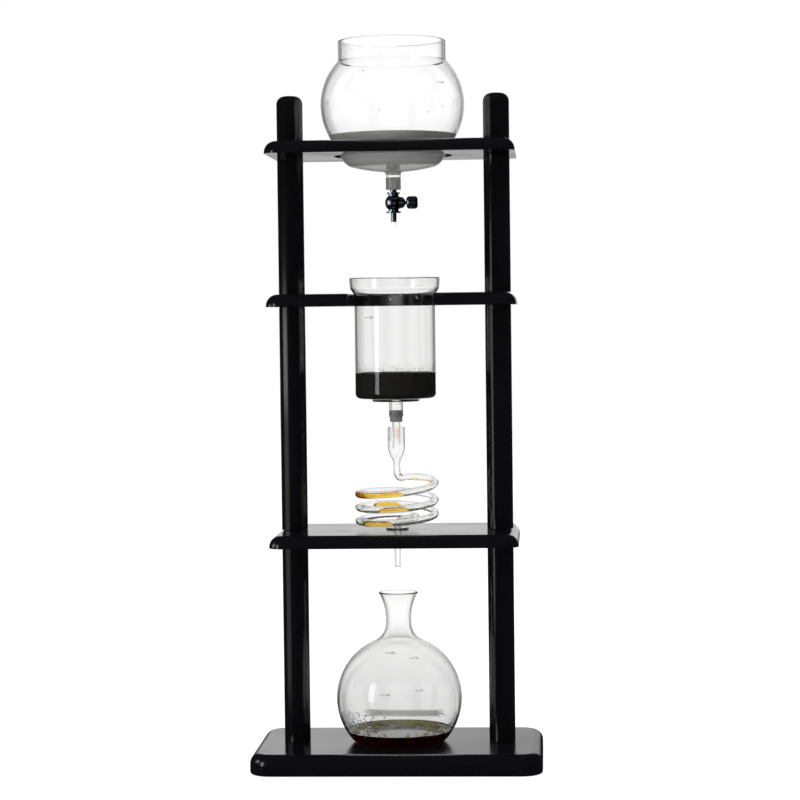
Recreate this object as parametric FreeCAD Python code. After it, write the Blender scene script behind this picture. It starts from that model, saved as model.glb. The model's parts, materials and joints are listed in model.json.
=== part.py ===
"""Cold drip coffee tower: a two-post lacquered wooden stand that carries, from top to bottom, a glass
water bowl with a needle valve, a glass coffee chamber, a glass cooling coil and a round glass flask.

Millimetres, +Z up, +X to the right, the front towards -Y. The origin is the centre of the underside of
the base board, on the table, and every glass piece stands on the Z axis above it.
"""

import FreeCAD, Part
import math
import os
from FreeCAD import Vector

# ---------------------------------------------------------------- stand: boards
base_overhang = 39.5  # past the axis of each post
base_depth = 172.0
base_thickness = 20.0
base_corner_radius = 21.0
base_bottom_round = 3.0
base_edge_flat = 7.0  # upright strip left between the two rounded edges

shelf_overhang = 18.5
shelf_depth = 155.0
shelf_thickness = 12.0
shelf_corner_radius = 14.0
shelf_edge_flat = 1.0

# ---------------------------------------------------------------- stand: posts and their fixings
post_diameter = 25.4
post_spacing = 201.0
lower_post_length = 196.0
middle_post_length = 218.0
upper_post_length = 133.5
finial_length = 47.5
finial_round = 8.0
post_end_chamfer = 0.6

thread_diameter = 8.0
thread_clearance = 0.1  # radial, between a thread and what it turns in
bolt_hole_clearance = 0.5  # radial, where a thread passes through a board
stud_depth_below = 24.0
stud_depth_above = 18.0
insert_diameter = 12.0
insert_length = 15.0
hole_end_gap = 1.5  # empty space past the end of a stud or a screw
screw_head_diameter = 15.0
screw_head_height = 4.2
screw_head_rim = 0.6
screw_recess = 0.8  # the heads sit this far above the underside
screw_socket_width = 5.0
screw_socket_depth = 2.4

# ---------------------------------------------------------------- fits between the pieces
seat_gap = 0.3  # between a glass piece and the wood that carries it
seal_gap = 0.05  # between a silicone or metal piece and the one it is pushed into
running_gap = 0.06  # radial, between pieces that turn or slide in each other

# ---------------------------------------------------------------- water bowl
bowl_radius = 69.7
bowl_side_arc = 62.0
bowl_cone_angle = 30.0  # from upright, where the bowl narrows towards the shelf
bowl_cone_length = 25.8
bowl_knuckle = 14.0
bowl_base_arc = 160.0
bowl_wall = 2.6
bowl_collar_radius = 52.3
bowl_collar_wall = 3.4
bowl_collar_top = 62.6  # above the widest part
bowl_rim_round = 1.5
bowl_stem_radius = 7.3
bowl_stem_wall = 1.7
bowl_stem_length = 17.0
bowl_stem_fillet = 2.5
bowl_hole_radius = 57.5
opening_round = 1.5  # softened rim of the hole and of the slot in the shelves

# ---------------------------------------------------------------- water valve
bowl_stopper_length = 12.0
spigot_radius = 3.1
spigot_below_stopper = 1.0  # it ends this far down the stopper's hole
valve_neck_length = 2.6  # bare metal between the glass stem and the valve's collar
valve_collar_radius = 6.2
valve_collar_height = 1.4
valve_half_height = 10.0
valve_ball_radius = 8.2
valve_waist_radius = 4.9
valve_foot_radius = 6.9
valve_foot_height = 1.6
valve_face = 6.0  # flat on the right of the ball, out from the upright axis
valve_bore_radius = 1.3
gland_bore_radius = 3.2
gland_bore_start = 2.4
packing_length = 1.0
bonnet_shoulder_radius = 5.3
bonnet_shoulder = 9.0
bonnet_end_radius = 2.4
bonnet_end = 11.6
spindle_radius = 1.5
spindle_tip_length = 1.6
spindle_reach = 1.5  # how far the closed tip reaches past the upright bore's axis
knob_gap = 1.0
knob_radius = 6.2
knob_length = 11.0
knob_round = 3.2
knob_socket_depth = 7.0
nozzle_radius = 2.75
nozzle_bore_radius = 1.6
nozzle_length = 8.6
nozzle_socket_depth = 3.0
nozzle_tip_round = 0.5

# ---------------------------------------------------------------- coffee chamber
chamber_radius = 39.3
chamber_wall = 2.2
chamber_floor = 2.8
chamber_depth = 100.4  # from the underside to where the shoulder starts
chamber_corner = 5.0
shoulder_rise = 7.0
shoulder_out = 4.2
chamber_collar_height = 10.0
chamber_collar_flare = 0.7
chamber_rim_round = 1.0
dish_radius = 22.5
dish_depth = 3.0
dish_slope = 1.5
chamber_stem_radius = 6.8
chamber_stem_wall = 1.5
chamber_stem_length = 15.0
slot_clearance = 0.7  # each side of the chamber

filter_thickness = 4.5
filter_clearance = 0.5
filter_seal_thickness = 1.5
filter_seal_width = 6.0
filter_round = 0.6

stem_stopper_length = 6.2
stem_stopper_flange_radius = 6.1
stem_stopper_flange = 5.0
drip_tube_radius = 4.1
drip_tube_wall = 1.0
drip_tube_length = 37.5
drip_tube_bevel = 35.0  # slant of the cut tip

# ---------------------------------------------------------------- cooling coil
coil_tube_radius = 3.6
coil_wall = 1.3
coil_loop_radius = 37.5
coil_pitch = 13.1
coil_sweep = 1007.0  # degrees round the loops, from the inlet arm to the outlet arm
coil_level_sweep = 93.0  # last part of the sweep, which runs level
coil_first_drop = 4.0  # extra fall of the first half turn
coil_lean = 4.5  # degrees by which the loops tip down at the front
coil_corner_step = 36.0
arm_length = 15.0  # straight part of the inlet and outlet arms
arm_heading = 60.0  # the inlet arm's direction, from +X towards +Y
arm_fall = 3.0
arm_corners = 3
inlet_bend = 8.0
outlet_bend = 7.0
arc_share = 0.45  # how much of each run its arcs may take at either end
receiver_mouth_radius = 8.4
receiver_belly_radius = 8.65
receiver_neck_radius = 4.6
receiver_neck_height = 14.7  # above the inlet arm
receiver_neck_length = 5.0
receiver_taper = 12.7
receiver_overlap = 21.0  # how much of the drip tube hangs inside the receiver
outlet_tip_radius = 3.1
outlet_below_shelf = 25.0

grommet_flange_radius = 11.0
grommet_flange = 1.5
grommet_sleeve_radius = 8.5
grommet_round = 0.6

# ---------------------------------------------------------------- flask
flask_radius = 61.2
flask_centre_height = 42.5
flask_knuckle = 10.0
flask_neck_radius = 12.5
flask_neck_start = 116.0
flask_neck_end = 120.0
flask_flare_arc = 52.0
flask_height = 146.5
flask_wall = 2.0
flask_rim_round = 0.9

# ---------------------------------------------------------------- sizes that follow from the ones above
TINY = 1e-6
UP = Vector(0, 0, 1)
RIGHT = Vector(1, 0, 0)

base_length = post_spacing + 2 * base_overhang
shelf_length = post_spacing + 2 * shelf_overhang

coil_shelf_bottom = base_thickness + lower_post_length
coil_shelf_top = coil_shelf_bottom + shelf_thickness
chamber_shelf_bottom = coil_shelf_top + middle_post_length
chamber_shelf_top = chamber_shelf_bottom + shelf_thickness
bowl_shelf_bottom = chamber_shelf_top + upper_post_length
bowl_shelf_top = bowl_shelf_bottom + shelf_thickness

post_radius = post_diameter / 2
thread_radius = thread_diameter / 2
bolt_hole_radius = thread_radius + bolt_hole_clearance
slot_radius = chamber_radius + slot_clearance


# ---------------------------------------------------------------- drawing helpers
def at(radius, height):
    """Point in the half-plane that is turned about Z."""
    return Vector(radius, 0, height)


def polar(centre, radius, degrees):
    """Point round a centre in that half-plane, with the angle measured from outwards to upwards."""
    angle = math.radians(degrees)
    return centre + at(radius * math.cos(angle), radius * math.sin(angle))


def arc(centre, radius, start, end):
    points = [polar(centre, radius, degrees) for degrees in (start, (start + end) / 2, end)]
    return Part.Arc(*points).toShape()


def line(start, end):
    return Part.LineSegment(start, end).toShape()


def outline(*items):
    """Closed wire through corners, given as vectors, and arcs, given as edges, joined by straight lines."""
    starts = [item if isinstance(item, Vector) else item.firstVertex().Point for item in items]
    ends = [item if isinstance(item, Vector) else item.lastVertex().Point for item in items]
    edges = []
    for item, end, start in zip(items, ends, starts[1:] + starts[:1]):
        if not isinstance(item, Vector):
            edges.append(item)
        if not end.isEqual(start, TINY):
            edges.append(line(end, start))
    return Part.Wire(edges)


def turned(*items):
    """Solid of an outline turned about Z."""
    return Part.Face(outline(*items)).revolve(Vector(), UP, 360)


def turned_on_x(*items):
    """Solid of an outline turned about Z and then laid along +X: heights become distances to the right."""
    solid = turned(*items)
    solid.rotate(Vector(), Vector(0, 1, 0), 90)
    return solid


def rod(radius, bottom, top, x=0.0):
    return Part.makeCylinder(radius, top - bottom, Vector(x, 0, bottom))


def rod_on_x(radius, start, end):
    return Part.makeCylinder(radius, end - start, Vector(start, 0, 0), RIGHT)


def raised(shape, height):
    shape.translate(Vector(0, 0, height))
    return shape


def edges_at_height(shape, height):
    return [e for e in shape.Edges if all(abs(v.Z - height) < TINY for v in e.Vertexes)]


def upright_edges(shape):
    return [e for e in shape.Edges if e.tangentAt(e.FirstParameter).cross(UP).Length < TINY]


def circles(shape, radius):
    """Whole circular edges of a radius."""
    found = [e for e in shape.Edges if isinstance(e.Curve, Part.Circle) and e.Closed]
    return [e for e in found if abs(e.Curve.Radius - radius) < TINY]


def seat_height(rim_radius, rim_top, wall_point, wall_angle):
    """How far a glass wall must be raised to rest on the rounded rim of an opening, seat_gap away from it.

    The wall leans out from upright by wall_angle and passes through wall_point, a radius and a height.
    """
    lean = math.radians(wall_angle)
    across = math.cos(lean) * (rim_radius + opening_round - wall_point.x) - opening_round - seat_gap
    return rim_top - opening_round - wall_point.z - across / math.sin(lean)


# ---------------------------------------------------------------- stand
def board(length, depth, thickness, corner_radius, top_round, bottom_round):
    """Flat board centred on Z, with round corners, a quarter-round top edge and a softened bottom edge."""
    plank = Part.makeBox(length, depth, thickness, Vector(-length / 2, -depth / 2, 0))
    plank = plank.makeFillet(corner_radius, upright_edges(plank))
    plank = plank.makeFillet(top_round, edges_at_height(plank, thickness))
    if bottom_round:
        plank = plank.makeFillet(bottom_round, edges_at_height(plank, 0))
    return plank


def shelf(bottom):
    """Shelf with a bolt hole for each post, before the opening for its glass piece is cut."""
    top_round = shelf_thickness - shelf_edge_flat
    plank = board(shelf_length, shelf_depth, shelf_thickness, shelf_corner_radius, top_round, 0)
    for x in post_places():
        plank = plank.cut(rod(bolt_hole_radius, 0, shelf_thickness, x))
    plank.translate(Vector(0, 0, bottom))
    return plank


def post_places():
    return (-post_spacing / 2, post_spacing / 2)


def base_board():
    top_round = base_thickness - base_edge_flat - base_bottom_round
    plank = board(base_length, base_depth, base_thickness, base_corner_radius, top_round, base_bottom_round)
    for x in post_places():
        countersink = screw_head(screw_head_diameter / 2 + bolt_hole_clearance)
        countersink = countersink.fuse(rod(screw_head_diameter / 2 + bolt_hole_clearance, 0, screw_recess))
        countersink.translate(Vector(x, 0, 0))
        plank = plank.cut(countersink).cut(rod(bolt_hole_radius, 0, base_thickness, x))
    return plank


def screw_head(radius):
    """Countersunk head, wide end down, with its rim at the height of the recess."""
    slope_top = screw_recess + screw_head_height
    return turned(
        at(0, screw_recess),
        at(radius, screw_recess),
        at(radius, screw_recess + screw_head_rim),
        at(thread_radius, slope_top),
        at(0, slope_top),
    )


def coil_shelf():
    hole = rod(grommet_sleeve_radius, coil_shelf_bottom, coil_shelf_top)
    return shelf(coil_shelf_bottom).cut(hole)


def chamber_shelf():
    """Shelf with a slot open to the front, so that the chamber slides out forwards once it is lifted."""
    slot = rod(slot_radius, chamber_shelf_bottom, chamber_shelf_top)
    mouth = Part.makeBox(slot_radius * 2, shelf_depth, shelf_thickness)
    mouth.translate(Vector(-slot_radius, -shelf_depth, chamber_shelf_bottom))
    plank = shelf(chamber_shelf_bottom).cut(slot.fuse(mouth).removeSplitter())
    rim = [e for e in edges_at_height(plank, chamber_shelf_top) if slot_rim(e)]
    return plank.makeFillet(opening_round, rim)


def slot_rim(edge):
    """Whether an edge lies on the slot's wall."""
    middle = edge.valueAt((edge.FirstParameter + edge.LastParameter) / 2)
    on_side = abs(abs(middle.x) - slot_radius) < TINY and middle.y < 0
    return on_side or abs(math.hypot(middle.x, middle.y) - slot_radius) < TINY


def bowl_shelf():
    plank = shelf(bowl_shelf_bottom).cut(rod(bowl_hole_radius, bowl_shelf_bottom, bowl_shelf_top))
    rim = [e for e in circles(plank, bowl_hole_radius) if e.CenterOfMass.z > bowl_shelf_top - TINY]
    return plank.makeFillet(opening_round, rim)


def post(bottom, length, x, top_is_finial):
    """Turned post section: a threaded insert in its lower end, and a glued-in stud or a dome on top."""
    top = bottom + length
    dowel = rod(post_radius, bottom, top, x)
    dowel = dowel.makeChamfer(post_end_chamfer, edges_at_height(dowel, bottom))
    top_edge = edges_at_height(dowel, top)
    if top_is_finial:
        dowel = dowel.makeFillet(finial_round, top_edge)
    else:
        dowel = dowel.makeChamfer(post_end_chamfer, top_edge)
        dowel = dowel.cut(rod(thread_radius + thread_clearance, top - stud_depth_below, top, x))
    insert_hole = rod(insert_diameter / 2 + thread_clearance, bottom, bottom + insert_length, x)
    tip_hole = rod(thread_radius + thread_clearance, bottom, bottom + stud_depth_above + hole_end_gap, x)
    return dowel.cut(insert_hole).cut(tip_hole)


def posts():
    """Four sections each side, by name."""
    sections = (
        ("lower_post", base_thickness, lower_post_length, False),
        ("middle_post", coil_shelf_top, middle_post_length, False),
        ("upper_post", chamber_shelf_top, upper_post_length, False),
        ("finial", bowl_shelf_top, finial_length, True),
    )
    found = {}
    for side, x in zip(("left", "right"), post_places()):
        for name, bottom, length, top_is_finial in sections:
            found[side + "_" + name] = post(bottom, length, x, top_is_finial)
    return found


def post_inserts():
    """Brass threaded inserts, one in the lower end of every post section."""
    sleeves = []
    for x in post_places():
        for bottom in (base_thickness, coil_shelf_top, chamber_shelf_top, bowl_shelf_top):
            sleeve = rod(insert_diameter / 2, bottom, bottom + insert_length, x)
            bore = rod(thread_radius + thread_clearance, bottom, bottom + insert_length, x)
            sleeves.append(sleeve.cut(bore))
    return Part.makeCompound(sleeves)


def shelf_studs():
    """Threaded studs that clamp each shelf between two post sections."""
    studs = []
    for x in post_places():
        for bottom, top in (
            (coil_shelf_bottom, coil_shelf_top),
            (chamber_shelf_bottom, chamber_shelf_top),
            (bowl_shelf_bottom, bowl_shelf_top),
        ):
            stud = rod(thread_radius, bottom - stud_depth_below, top + stud_depth_above, x)
            ends = circles(stud, thread_radius)
            studs.append(stud.makeChamfer(post_end_chamfer, ends))
    return Part.makeCompound(studs)


def base_screws():
    """Countersunk screws from beneath the base into the lower posts, each with a hexagon socket."""
    screws = []
    for x in post_places():
        shank = rod(thread_radius, screw_recess, base_thickness + stud_depth_above)
        socket = hexagon_bar(screw_socket_width, screw_recess, screw_recess + screw_socket_depth)
        screw = screw_head(screw_head_diameter / 2).fuse(shank).removeSplitter().cut(socket)
        screw.translate(Vector(x, 0, 0))
        screws.append(screw)
    return Part.makeCompound(screws)


def hexagon_bar(across_flats, bottom, top):
    sides = 6
    radius = across_flats / 2 / math.cos(math.pi / sides)
    angles = [2 * math.pi * side / sides for side in range(sides)]
    corners = [Vector(radius * math.cos(a), radius * math.sin(a), bottom) for a in angles]
    return Part.Face(outline(*corners)).extrude(Vector(0, 0, top - bottom))


def coil_grommet():
    """Silicone ring that lines the hole in the coil shelf and cushions the coil's elbow."""
    top = coil_shelf_top + grommet_flange
    bottom = coil_shelf_bottom - grommet_flange
    sleeve = grommet_sleeve_radius - seal_gap
    bore = coil_tube_radius + running_gap
    ring = turned(
        at(bore, bottom),
        at(grommet_flange_radius, bottom),
        at(grommet_flange_radius, coil_shelf_bottom),
        at(sleeve, coil_shelf_bottom),
        at(sleeve, coil_shelf_top),
        at(grommet_flange_radius, coil_shelf_top),
        at(grommet_flange_radius, top),
        at(bore, top),
    )
    outer = [e for e in circles(ring, grommet_flange_radius) if e.CenterOfMass.z > top - TINY]
    outer += [e for e in circles(ring, grommet_flange_radius) if e.CenterOfMass.z < bottom + TINY]
    return ring.makeFillet(grommet_round, outer)


# ---------------------------------------------------------------- water bowl and its valve
def bowl_cone_start():
    """Where the bowl's round side turns into the straight cone, from the widest part."""
    return polar(at(bowl_radius - bowl_side_arc, 0), bowl_side_arc, -bowl_cone_angle)


def bowl_height():
    """Height of the bowl's widest part when it rests in its hole."""
    return seat_height(bowl_hole_radius, bowl_shelf_top, bowl_cone_start(), bowl_cone_angle)


def bowl_knuckle_centre():
    lean = math.radians(bowl_cone_angle)
    side = at(bowl_radius - bowl_side_arc, 0)
    along_cone = at(-math.sin(lean), -math.cos(lean)) * bowl_cone_length
    return polar(side, bowl_side_arc - bowl_knuckle, -bowl_cone_angle) + along_cone


def bowl_base_centre():
    knuckle = bowl_knuckle_centre()
    return at(0, knuckle.z + math.sqrt((bowl_base_arc - bowl_knuckle) ** 2 - knuckle.x**2))


def bowl_form(inset, collar, stem):
    """The bowl with its stem as a full body, its surface set in by an amount below the collar."""
    side = at(bowl_radius - bowl_side_arc, 0)
    knuckle = bowl_knuckle_centre()
    base = bowl_base_centre()
    base_arc = bowl_base_arc - inset
    fillet = bowl_stem_fillet
    collar_angle = math.degrees(math.acos((collar - side.x) / (bowl_side_arc - inset)))
    base_angle = math.degrees(math.acos(knuckle.x / (bowl_base_arc - bowl_knuckle)))
    stem_angle = math.degrees(math.acos((stem + fillet) / (base_arc + fillet)))
    stem_tip = base.z - bowl_base_arc - bowl_stem_length
    return turned(
        at(0, bowl_collar_top),
        at(collar, bowl_collar_top),
        arc(side, bowl_side_arc - inset, collar_angle, -bowl_cone_angle),
        arc(knuckle, bowl_knuckle - inset, -bowl_cone_angle, -base_angle),
        arc(base, base_arc, -base_angle, -stem_angle),
        arc(polar(base, base_arc + fillet, -stem_angle), fillet, 180 - stem_angle, 180),
        at(stem, stem_tip),
        at(0, stem_tip),
    )


def bowl_stem_bottom():
    return bowl_height() + bowl_base_centre().z - bowl_base_arc - bowl_stem_length


def water_bowl():
    body = bowl_form(0, bowl_collar_radius, bowl_stem_radius)
    hollow = bowl_form(bowl_wall, bowl_collar_radius - bowl_collar_wall, bowl_stem_radius - bowl_stem_wall)
    glass = body.cut(hollow)
    glass = glass.makeFillet(bowl_rim_round, edges_at_height(glass, bowl_collar_top))
    return raised(glass, bowl_height())


def bowl_stopper():
    """Silicone bung that holds the valve's spigot in the bowl's stem."""
    bottom = bowl_stem_bottom()
    plug = rod(bowl_stem_radius - bowl_stem_wall - seal_gap, bottom, bottom + bowl_stopper_length)
    return plug.cut(rod(spigot_radius + seal_gap, bottom, bottom + bowl_stopper_length))


def valve_height():
    """Height of the valve's level axis."""
    return bowl_stem_bottom() - valve_neck_length - valve_half_height


def valve_body():
    """Ball with a spigot and a collar above, a flat foot below and a threaded boss to the right."""
    spigot_top = valve_half_height + valve_neck_length + bowl_stopper_length - spigot_below_stopper
    collar_bottom = valve_half_height - valve_collar_height
    foot_top = valve_foot_height - valve_half_height
    socket_top = nozzle_socket_depth - valve_half_height
    waist = math.degrees(math.acos(valve_waist_radius / valve_ball_radius))
    metal = turned(
        at(0, spigot_top),
        at(spigot_radius, spigot_top),
        at(spigot_radius, valve_half_height),
        at(valve_collar_radius, valve_half_height),
        at(valve_collar_radius, collar_bottom),
        at(valve_waist_radius, collar_bottom),
        arc(at(0, 0), valve_ball_radius, waist, -waist),
        at(valve_waist_radius, foot_top),
        at(valve_foot_radius, foot_top),
        at(valve_foot_radius, -valve_half_height),
        at(0, -valve_half_height),
    )
    beyond_face = Part.makeBox(valve_ball_radius, 2 * valve_ball_radius, collar_bottom - foot_top)
    beyond_face.translate(Vector(valve_face, -valve_ball_radius, foot_top))
    metal = metal.cut(beyond_face)
    metal = metal.cut(rod(valve_bore_radius, -valve_half_height, spigot_top))
    metal = metal.cut(rod(nozzle_radius + seal_gap, -valve_half_height, socket_top))
    metal = metal.cut(rod_on_x(spindle_radius + running_gap, -spindle_reach - running_gap, valve_face))
    metal = metal.cut(rod_on_x(gland_bore_radius, gland_bore_start, valve_face))
    return raised(metal, valve_height())


def valve_packing():
    """Ring that seals the spindle at the bottom of the gland."""
    ring = rod_on_x(gland_bore_radius - seal_gap, gland_bore_start, gland_bore_start + packing_length)
    return raised(ring.cut(rod_on_x(spindle_radius + running_gap, 0, bonnet_end)), valve_height())


def valve_bonnet():
    """Cone-shaped gland nut, screwed into the valve, that the spindle turns in."""
    inner_end = gland_bore_start + packing_length
    face_radius = math.sqrt(valve_ball_radius**2 - valve_face**2)
    nut = turned_on_x(
        at(spindle_radius + running_gap, inner_end),
        at(gland_bore_radius - thread_clearance, inner_end),
        at(gland_bore_radius - thread_clearance, valve_face),
        at(face_radius, valve_face),
        at(bonnet_shoulder_radius, bonnet_shoulder),
        at(bonnet_end_radius, bonnet_end),
        at(spindle_radius + running_gap, bonnet_end),
    )
    return raised(nut, valve_height())


def knob_start():
    return bonnet_end + knob_gap


def valve_needle():
    """Spindle whose pointed tip crosses the upright bore and meters the drops."""
    end = knob_start() + knob_socket_depth - seal_gap
    spindle = turned_on_x(
        at(0, -spindle_reach),
        at(spindle_radius / 2, -spindle_reach),
        at(spindle_radius, spindle_tip_length - spindle_reach),
        at(spindle_radius, end),
        at(0, end),
    )
    return raised(spindle, valve_height())


def valve_knob():
    """Barrel-shaped hand knob with a bore for the spindle."""
    start = knob_start()
    barrel = rod_on_x(knob_radius, start, start + knob_length)
    barrel = barrel.makeFillet(knob_round, circles(barrel, knob_radius))
    barrel = barrel.cut(rod_on_x(spindle_radius + running_gap, start, start + knob_socket_depth))
    return raised(barrel, valve_height())


def valve_nozzle():
    """Short outlet tube pushed into the valve's foot."""
    top = nozzle_socket_depth - valve_half_height
    tip = -valve_half_height - nozzle_length
    tube = rod(nozzle_radius, tip, top - seal_gap)
    tube = tube.makeFillet(nozzle_tip_round, edges_at_height(tube, tip))
    return raised(tube.cut(rod(nozzle_bore_radius, tip, top)), valve_height())


# ---------------------------------------------------------------- coffee chamber
def shoulder_angle():
    """Lean of the chamber's shoulder from upright, in degrees."""
    return math.degrees(math.atan2(shoulder_out, shoulder_rise))


def chamber_bottom():
    """Height of the chamber's flat underside when its shoulder rests on the slot's rim."""
    start = at(chamber_radius, chamber_depth)
    return seat_height(slot_radius, chamber_shelf_top, start, shoulder_angle())


def chamber_form(inset, floor, dish, bottom):
    """The chamber without its stem as a full body, its walls set in, its floor and dish at given heights."""
    shoulder_top = chamber_depth + shoulder_rise
    rim_top = shoulder_top + chamber_collar_height
    collar = chamber_radius + shoulder_out - inset
    corner = chamber_corner - inset
    return turned(
        at(0, rim_top),
        at(collar + chamber_collar_flare, rim_top),
        at(collar, shoulder_top),
        at(chamber_radius - inset, chamber_depth),
        arc(at(chamber_radius - chamber_corner, floor + corner), corner, 0, -90),
        at(dish + dish_slope, floor),
        at(dish, bottom),
        at(0, bottom),
    )


def coffee_chamber():
    shoulder_top = chamber_depth + shoulder_rise
    rim_top = shoulder_top + chamber_collar_height
    stem_tip = -dish_depth - chamber_stem_length
    body = chamber_form(0, 0, dish_radius, -dish_depth)
    body = body.fuse(rod(chamber_stem_radius, stem_tip, -dish_depth))
    hollow = chamber_form(chamber_wall, chamber_floor, dish_inner_radius(), chamber_floor - dish_depth)
    bore = rod(chamber_stem_radius - chamber_stem_wall, stem_tip, chamber_floor)
    glass = body.cut(hollow.fuse(bore))
    glass = glass.makeFillet(chamber_rim_round, edges_at_height(glass, rim_top))
    return raised(glass, chamber_bottom())


def dish_inner_radius():
    return dish_radius - chamber_wall


def filter_seal():
    """Silicone ring under the filter, on the floor of the dish."""
    bottom = chamber_bottom() + chamber_floor - dish_depth
    radius = dish_inner_radius() - filter_clearance
    ring = rod(radius, bottom, bottom + filter_seal_thickness)
    return ring.cut(rod(radius - filter_seal_width, bottom, bottom + filter_seal_thickness))


def filter_disc():
    """Porous ceramic disc that holds the coffee grounds back."""
    bottom = chamber_bottom() + chamber_floor - dish_depth + filter_seal_thickness
    disc = rod(dish_inner_radius() - filter_clearance, bottom, bottom + filter_thickness)
    return disc.makeFillet(filter_round, edges_at_height(disc, bottom + filter_thickness))


def chamber_stem_bottom():
    return chamber_bottom() - dish_depth - chamber_stem_length


def stem_stopper():
    """Dark silicone bung, with a flange below the glass stem, that holds the drip tube."""
    rim = chamber_stem_bottom()
    plug = rod(chamber_stem_radius - chamber_stem_wall - seal_gap, rim, rim + stem_stopper_length)
    flange = rod(stem_stopper_flange_radius, rim - stem_stopper_flange, rim)
    bore = rod(drip_tube_radius + seal_gap, rim - stem_stopper_flange, rim + stem_stopper_length)
    return plug.fuse(flange).removeSplitter().cut(bore)


def drip_tube_tip():
    return chamber_stem_bottom() + stem_stopper_length - drip_tube_length


def drip_tube():
    """Glass tube with a slanted tip, so that the coffee falls from one point."""
    tip = drip_tube_tip()
    tube = rod(drip_tube_radius, tip, tip + drip_tube_length)
    tube = tube.cut(rod(drip_tube_radius - drip_tube_wall, tip, tip + drip_tube_length))
    side = drip_tube_length
    below_slant = Part.makeBox(side, side, side, Vector(-side / 2, -side / 2, -side))
    below_slant.rotate(Vector(), Vector(0, 1, 0), -drip_tube_bevel)
    below_slant.translate(Vector(-drip_tube_radius, 0, tip))
    return tube.cut(below_slant)


# ---------------------------------------------------------------- cooling coil
def loop_fall(degrees):
    """How far the loops have fallen after an angle round them, before the lean."""
    falling = min(degrees, coil_sweep - coil_level_sweep)
    return coil_pitch * falling / 360 + coil_first_drop * min(1.0, degrees / 180)


def outlet_arm_height():
    return coil_shelf_top + grommet_flange + seat_gap + outlet_bend


def inlet_arm_height():
    return outlet_arm_height() + loop_fall(coil_sweep) + arm_fall


def bend_corners(centre_x, centre_y, radius, start, sweep, count):
    """Plan corners of a clockwise bend, outside its arc so that the runs between them touch the arc."""
    step = sweep / count
    reach = radius / math.cos(math.radians(step / 2))
    angles = [math.radians(start - step * (index + 0.5)) for index in range(count)]
    return [(centre_x + reach * math.cos(a), centre_y + reach * math.sin(a)) for a in angles]


def arm_arc():
    """Radius and sweep of the arc that leads an arm into the loops, and its centre's angle off the arm."""
    radius = (coil_loop_radius**2 - arm_length**2) / (2 * coil_loop_radius)
    off_arm = math.degrees(math.atan2(radius, arm_length))
    return radius, 90 + off_arm, off_arm


def coil_corners():
    """Corners of the tube's route with the largest bend radius at each, from the receiver to the outlet."""
    radius, sweep, off_arm = arm_arc()
    offset = coil_loop_radius - radius
    first = arm_heading - off_arm
    last = first - coil_sweep
    plan = []
    for angle, start in ((first, arm_heading + 90), (last, last)):
        centre = (offset * math.cos(math.radians(angle)), offset * math.sin(math.radians(angle)))
        plan.append(bend_corners(*centre, radius, start, sweep, arm_corners))
    count = round(coil_sweep / coil_corner_step)
    loops = bend_corners(0, 0, coil_loop_radius, first, coil_sweep, count)
    top, low = inlet_arm_height(), outlet_arm_height()
    flat = []
    for index, (x, y) in enumerate(plan[0]):
        flat.append((x, y, top - arm_fall * (index + 1) / (arm_corners + 1)))
    for index, (x, y) in enumerate(loops):
        flat.append((x, y, top - arm_fall - loop_fall(coil_sweep * (index + 0.5) / count)))
    flat += [(x, y, low) for x, y in plan[1]]
    rise = math.tan(math.radians(coil_lean))
    corners = [(Vector(x, y, z + y * rise), coil_loop_radius) for x, y, z in flat]
    corners.insert(0, (at(0, top), inlet_bend))
    corners.append((at(0, low), outlet_bend))
    return [at(0, top + receiver_neck_height)] + corners + [at(0, coil_shelf_bottom)]


def rounded_route(start, corners, end):
    """Wire of straight runs and tangent arcs through corners, each given with its largest radius."""
    points = [start] + [corner for corner, _ in corners] + [end]
    edges = []
    place = start
    for index, (corner, largest) in enumerate(corners, start=1):
        back = points[index - 1] - corner
        on = points[index + 1] - corner
        half_turn = (math.pi - back.getAngle(on)) / 2
        reach = min(largest * math.tan(half_turn), arc_share * back.Length, arc_share * on.Length)
        radius = reach / math.tan(half_turn)
        back.normalize()
        on.normalize()
        inward = (back + on).normalize()
        middle = corner + inward * (radius / math.cos(half_turn) - radius)
        edges.append(line(place, corner + back * reach))
        place = corner + on * reach
        edges.append(Part.Arc(corner + back * reach, middle, place).toShape())
    edges.append(line(place, end))
    return Part.Wire(edges)


def tube_along(route, radius):
    section = Part.Wire(Part.makeCircle(radius, route.Edges[0].firstVertex().Point, UP))
    return route.makePipeShell([section], True, False)


def coil_form(route, inset):
    """Receiver, coiled tube and outlet as one full body, its surface set in by an amount."""
    neck = inlet_arm_height() + receiver_neck_height
    taper = receiver_belly_radius - receiver_neck_radius
    ogive = (taper**2 + receiver_taper**2) / (2 * taper)
    belly = neck + receiver_neck_length + receiver_taper
    ogive_end = -math.degrees(math.asin(receiver_taper / ogive))
    mouth = drip_tube_tip() + receiver_overlap
    receiver = turned(
        at(0, mouth),
        at(receiver_mouth_radius - inset, mouth),
        arc(at(receiver_belly_radius - ogive, belly), ogive - inset, 0, ogive_end),
        at(coil_tube_radius - inset, neck),
        at(0, neck),
    )
    tip = coil_shelf_bottom - outlet_below_shelf
    outlet = turned(
        at(0, coil_shelf_bottom),
        at(coil_tube_radius - inset, coil_shelf_bottom),
        at(outlet_tip_radius - inset, tip),
        at(0, tip),
    )
    return receiver.fuse([tube_along(route, coil_tube_radius - inset), outlet]).removeSplitter()


def coil():
    start, *corners, end = coil_corners()
    route = rounded_route(start, corners, end)
    return coil_form(route, 0).cut(coil_form(route, coil_wall))


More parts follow.
